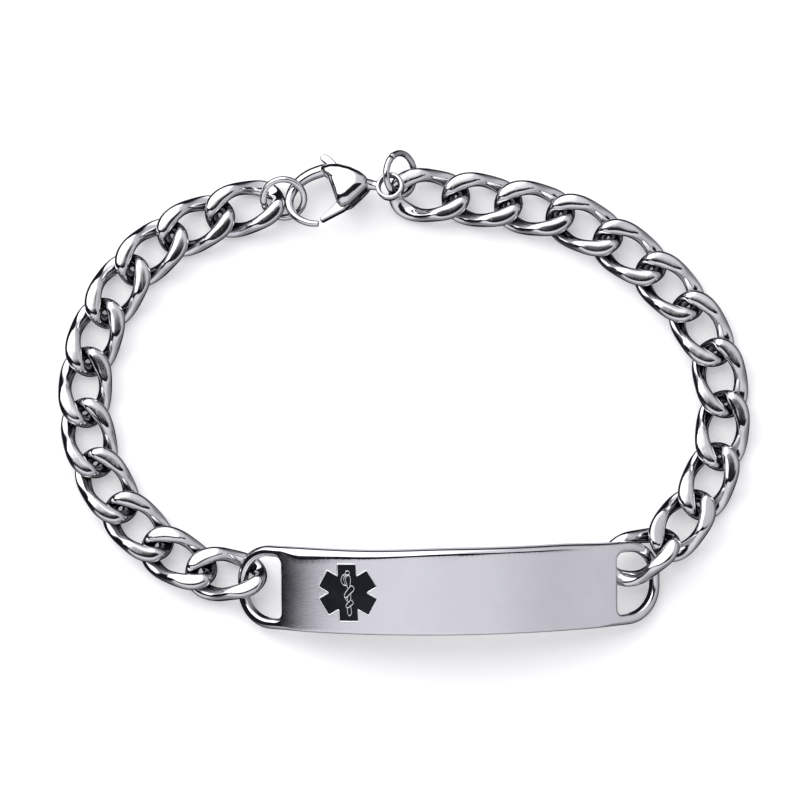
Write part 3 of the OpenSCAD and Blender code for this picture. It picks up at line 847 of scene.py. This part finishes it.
def clasp_body():
    parts = []
    for s in (1, -1):
        parts.append(dome(s))
    # web between the two shells on the eye's side, and at the hook's root
    for P in ([[1.75, 1.55], [2.75, 0.75], [2.75, -0.50], [1.75, -1.20]],
              [[-2.72, 2.74], [-2.30, 2.86], [-2.02, 2.30], [-2.14, 2.12], [-2.42, 2.36]]):
        P = np.array(P, float)
        c = P.mean(0)
        z = SLOT_Z + 0.12
        n = len(P)
        V = np.array([(x, y, -z) for x, y in P] + [(x, y, z) for x, y in P])
        F = [(i, (i + 1) % n, n + (i + 1) % n, n + i) for i in range(n)] + [tuple(range(n))[::-1], tuple(range(n, 2 * n))]
        parts.append((V, F))
    H = catmull(HOOK, 8)
    V, F = tube(H[:, :2], H[:, 2] / 2, 32)
    parts.append((V, F))
    # neck
    N = catmull([[2.35, 0.12, 0.78, 0.98], [2.75, 0.05, 0.66, 0.84], [3.10, -0.08, 0.62, 0.66], [3.45, -0.22, 0.57, 0.55], [3.80, -0.34, 0.58, 0.52], [4.05, -0.42, 0.60, 0.50]], 6)
    d = np.gradient(N[:, :2], axis=0)
    d /= np.linalg.norm(d, axis=1)[:, None]
    f = np.arange(28) / 28 * 2 * math.pi
    V = np.concatenate([np.c_[p[0] + t[1] * p[2] * np.cos(f), p[1] - t[0] * p[2] * np.cos(f), p[3] * np.sin(f)] for p, t in zip(N, d)])
    F = [g[::-1] for g in grid_faces(len(N), 28, closed_n=False)] + [tuple(range(28)), tuple(range((len(N) - 1) * 28, len(N) * 28))[::-1]]
    parts.append((V, F))
    # eye: a ring of rounded section
    n, m = 96, 24
    a = np.arange(n) / n * 2 * math.pi
    f = np.arange(m) / m * 2 * math.pi
    rc, rw = (EYE_D + EYE_HOLE) / 4, (EYE_D - EYE_HOLE) / 4
    V = np.concatenate([np.c_[EYE[0] + (rc + rw * sp(np.cos(f), 0.8)) * math.cos(t), EYE[1] + (rc + rw * sp(np.cos(f), 0.8)) * math.sin(t), EYE_H / 2 * sp(np.sin(f), 0.8)] for t in a])
    parts.append((V, grid_faces(n, m)))
    obs = [solid_object("tmp_clasp_%d" % i, on_clasp(v), g) for i, (v, g) in enumerate(parts)]
    base = obs[0]
    for o in obs[1:]:
        mod = base.modifiers.new("u", "BOOLEAN")
        mod.operation, mod.solver, mod.object = "UNION", "EXACT", o
    dg = bpy.context.evaluated_depsgraph_get()
    me = bpy.data.meshes.new_from_object(base.evaluated_get(dg))
    for o in obs:
        bpy.data.objects.remove(o)
    bm = bmesh.new()
    bm.from_mesh(me)
    bmesh.ops.remove_doubles(bm, verts=bm.verts, dist=2e-6)
    bmesh.ops.dissolve_degenerate(bm, dist=1e-6, edges=bm.edges)
    bm.to_mesh(me)
    bm.free()
    me.name = "clasp_hook_body"
    me.materials.clear()
    me.materials.append(clasp_steel)
    me.polygons.foreach_set("use_smooth", np.ones(len(me.polygons), bool))
    me.set_sharp_from_angle(angle=math.radians(38))
    ob = bpy.data.objects.new("clasp_hook_body", me)
    bpy.context.scene.collection.objects.link(ob)
    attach(ob, "bracelet")
    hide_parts("clasp_body")


clasp_body()

# Plan of the lever. Columns: x, y.
LEVER = [[1.12, -0.20], [1.12, 0.30], [0.80, 0.80], [-0.78, 3.52], [-1.16, 4.02], [-1.68, 4.49], [-2.11, 4.55], [-2.41, 4.33],
         [-2.46, 3.99], [-2.21, 3.69], [-1.76, 3.22], [-1.58, 2.60], [-1.08, 0.55], [-1.12, -0.30], [-1.20, -1.74],
         [-3.28, -3.20], [-3.38, -3.36], [-3.32, -3.54], [-3.14, -3.63], [-2.94, -3.60], [-0.40, -2.72], [0.42, -2.15], [0.95, -0.80]]


def stacked(name, P, hole, z0, z1, r, K=5):
    """A flat piece over a closed outline with a round hole and rounded edges, as points and faces."""
    V, F = [], []
    rim = {}
    for li, Q in enumerate([P, hole]):
        N = inward(Q)
        rr = r if li == 0 else 0.04
        rows = []
        for k in range(K + 1):
            a = math.pi / 2 * k / K
            rows.append(np.c_[Q + N * rr * (1 - math.sin(a)), np.full(len(Q), z0 + rr * (1 - math.cos(a)))])
        for k in range(K + 1):
            a = math.pi / 2 * k / K
            rows.append(np.c_[Q + N * rr * (1 - math.cos(a)), np.full(len(Q), z1 - rr * (1 - math.sin(a)))])
        base, n = len(V), len(Q)
        for q in rows:
            V.extend(map(tuple, q))
        for k in range(len(rows) - 1):
            for i in range(n):
                a, b = base + k * n + i, base + k * n + (i + 1) % n
                F.append((a, b, b + n, a + n))
        rim[li] = (list(range(base, base + n)), list(range(base + (len(rows) - 1) * n, base + len(rows) * n)))
    for which, flip in ((1, False), (0, True)):
        rims = [rim[0][which], rim[1][which]]
        loopsA = [np.array([V[i][:2] for i in q]) for q in rims]
        ids = rims[0] + rims[1]
        pts = [Vector(p) for A in loopsA for p in A]
        edges, s = [], 0
        for q in rims:
            edges += [(s + i, s + (i + 1) % len(q)) for i in range(len(q))]
            s += len(q)
        vs, _, fs, orig, _, _ = delaunay_2d_cdt(pts, edges, [], 0, 1e-8)
        C = np.array([np.mean([vs[i][:] for i in f], axis=0) for f in fs])
        keep = inside(C, loopsA, 0.0)
        z = V[ids[0]][2]
        where = {}
        for i, o in enumerate(orig):
            k = min(o) if len(o) else None
            if k is not None and k < len(ids):
                where[i] = ids[k]
            else:
                where[i] = len(V)
                V.append((vs[i][0], vs[i][1], z))
        for f, ok in zip(fs, keep):
            if ok:
                g = [where[i] for i in f]
                p = np.array([V[i][:2] for i in g])
                area = (p[1][0] - p[0][0]) * (p[2][1] - p[0][1]) - (p[1][1] - p[0][1]) * (p[2][0] - p[0][0])
                F.append(tuple(g[::-1] if (area < 0) != flip else g))
    return np.array(V), F


def circle(r, n=40):
    a = np.arange(n) / n * 2 * math.pi
    return np.c_[r * np.cos(a), r * np.sin(a)]


LP_ = resample(rounded(LEVER, 0.25, 4), 0.12)
V, F = stacked("lever", LP_, circle(0.43)[::-1], -LEVER_T / 2, LEVER_T / 2, 0.20)
make("clasp_thumb_lever", on_clasp(V), F, clasp_steel, body="lever", node="clasp_lever")

# the hinge pin, with its edges broken
rows = [(0.34, -(SLOT_Z + 0.6)), (0.40, -(SLOT_Z + 0.54)), (0.40, SLOT_Z + 0.54), (0.34, SLOT_Z + 0.6)]
V = np.concatenate([np.c_[circle(r, 32), np.full(32, z)] for r, z in rows])
F = [(a, b, b + 32, a + 32) for k in range(3) for a, b in ((k * 32 + i, k * 32 + (i + 1) % 32) for i in range(32))]
F += [tuple(range(32))[::-1], tuple(range(96, 128))]
make("clasp_hinge_pin", on_clasp(V), F, ring_steel, node="clasp_pin")


# -------------------------------------------------------------------- stage
def floor():
    me = bpy.data.meshes.new("floor")
    n, r = 96, 4.0
    ring = [(r * math.cos(a), r * math.sin(a), -0.00002) for a in np.arange(n) / n * 2 * math.pi]
    me.from_pydata([(0, 0, -0.00002)] + ring, [], [(0, 1 + i, 1 + (i + 1) % n) for i in range(n)])
    ob = bpy.data.objects.new("floor", me)
    bpy.context.scene.collection.objects.link(ob)
    m = bpy.data.materials.new("pale_floor")
    m.use_nodes = True
    t = Tree(m.node_tree)
    b = m.node_tree.nodes["Principled BSDF"]
    co = t.node("ShaderNodeTexCoord").outputs["Object"]
    t.put(b.inputs["Base Color"], t.mix(t.noise(co, 30.0, 3.0), (0.86, 0.86, 0.865, 1), (0.88, 0.88, 0.885, 1)))
    b.inputs["Roughness"].default_value = 0.9
    b.inputs["Specular IOR Level"].default_value = 0.1
    b.inputs["Emission Color"].default_value = (1.0, 1.0, 1.0, 1.0)
    b.inputs["Emission Strength"].default_value = 0.28
    me.materials.append(m)
    ob.visible_glossy = False  # the metal sees the tent below the horizon, not this disc


floor()


def sky():
    """A tent of light seen in the metal: a broad white panel on the far left, pale grey on the near right, and the
    dark round of the opening overhead."""
    w = bpy.data.worlds.new("studio_tent")
    bpy.context.scene.world = w
    w.use_nodes = True
    t = Tree(w.node_tree)
    bg = w.node_tree.nodes["Background"]
    d = t.node("ShaderNodeTexCoord").outputs["Generated"]

    def along(v):
        n = t.node("ShaderNodeVectorMath", operation="DOT_PRODUCT")
        t.put(n.inputs[0], d)
        L = math.sqrt(sum(x * x for x in v))
        n.inputs[1].default_value = tuple(x / L for x in v)
        return n.outputs["Value"]

    def cone(v, inner, outer):
        return t.ramp(along(v), math.cos(math.radians(outer)), math.cos(math.radians(inner)), 0.0, 1.0)

    xyz = t.node("ShaderNodeSeparateXYZ")
    t.put(xyz.inputs[0], d)
    z = xyz.outputs["Z"]
    flat = t.math("SQRT", t.math("MAXIMUM", t.math("SUBTRACT", 1.0, t.math("MULTIPLY", z, z)), 0.0001))
    side = t.math("DIVIDE", along((-0.707, 0.707, 0.0)), flat)
    panel = t.ramp(side, 0.52, 0.72, 0.0, 1.0)
    base = t.mix(t.ramp(z, -0.10, 0.60, 0.0, 1.0), (0.42, 0.42, 0.445, 1), (1.04, 1.04, 1.09, 1))
    east = t.node("ShaderNodeVectorMath", operation="SCALE")
    t.put(east.inputs[0], base)
    t.put(east.inputs["Scale"], t.ramp(xyz.outputs["X"], 0.05, 0.55, 1.0, 0.78))
    col = t.mix(panel, east.outputs["Vector"], (2.3, 2.3, 2.3, 1))
    # below the horizon: dark soon on the panel's side, later on the near right
    near = t.ramp(side, -0.3, 0.5, 0.0, 1.0)
    fall = t.math("ADD", t.math("MULTIPLY", near, t.ramp(z, 0.04, 0.24, 0.0, 1.0)),
                  t.math("MULTIPLY", t.math("SUBTRACT", 1.0, near), t.ramp(z, -0.75, -0.35, 0.0, 1.0)))
    dark = (0.012, 0.012, 0.016, 1)
    col = t.mix(fall, dark, col)
    # the pale table straight below
    col = t.mix(t.math("MULTIPLY", near, t.ramp(z, -0.90, -0.80, 1.0, 0.0)), col, (0.75, 0.75, 0.82, 1))

    # a dark gap between the sheets of the tent: it runs from low at the left, over the top, and thins to the right
    def strip(m, inner, outer):
        return t.ramp(t.math("ABSOLUTE", along(m)), math.sin(math.radians(outer)), math.sin(math.radians(inner)), 0.0, 1.0)

    x = xyz.outputs["X"]
    left = t.math("MULTIPLY", strip((0.222, -0.968, -0.085), 8.8, 11.6), t.ramp(x, 0.0, 0.08, 1.0, 0.0))
    right = t.math("MULTIPLY", strip((0.10, 0.98, 0.100), 10.3, 13.3), t.math("MULTIPLY", t.ramp(x, -0.08, 0.0, 0.0, 1.0), t.ramp(x, 0.50, 0.72, 1.0, 0.0)))
    gap = t.math("MULTIPLY", t.math("MAXIMUM", left, right), t.ramp(z, -0.05, 0.05, 0.0, 1.0))
    low = cone((-0.90, -0.25, 0.36), 15.0, 19.5)
    top = cone((0.05, -0.125, 1.0), 14.5, 18.5)
    # the far left is dark down to the table
    west = t.math("MULTIPLY", t.ramp(along((-0.99, 0.02, 0.12)), 0.74, 0.88, 0.0, 1.0), t.ramp(z, 0.14, 0.36, 1.0, 0.0))
    col = t.mix(t.math("MAXIMUM", t.math("MAXIMUM", gap, low), t.math("MAXIMUM", top, west)), col, dark)
    t.put(bg.inputs["Color"], col)
    bg.inputs["Strength"].default_value = 1.0


sky()

lamp = bpy.data.lights.new("soft_key", "AREA")
lamp.shape, lamp.size, lamp.size_y, lamp.energy = "RECTANGLE", 0.5, 0.35, 1.2
lo_ = bpy.data.objects.new("soft_key", lamp)
lo_.location = (-0.55, 0.45, 0.60)
lo_.rotation_mode = "QUATERNION"
lo_.rotation_quaternion = (Vector((0, 0, 0)) - lo_.location).to_track_quat("-Z", "Y")
bpy.context.scene.collection.objects.link(lo_)

cam = bpy.data.cameras.new("camera")
cam.lens, cam.sensor_width = 600.0, 36.0
co = bpy.data.objects.new("camera", cam)
bpy.context.scene.collection.objects.link(co)
e = math.radians(82)
back = Vector((0, -math.cos(e), math.sin(e)))
dist = 0.09412 * cam.lens / cam.sensor_width
co.location = Vector((-0.000456, -0.000199, 0.0)) + back * dist
co.rotation_mode = "QUATERNION"
co.rotation_quaternion = (-back).to_track_quat("-Z", "Y")
cam.clip_start, cam.clip_end = 0.05, 20.0
bpy.context.scene.camera = co
bpy.context.scene.view_settings.view_transform = "Standard"
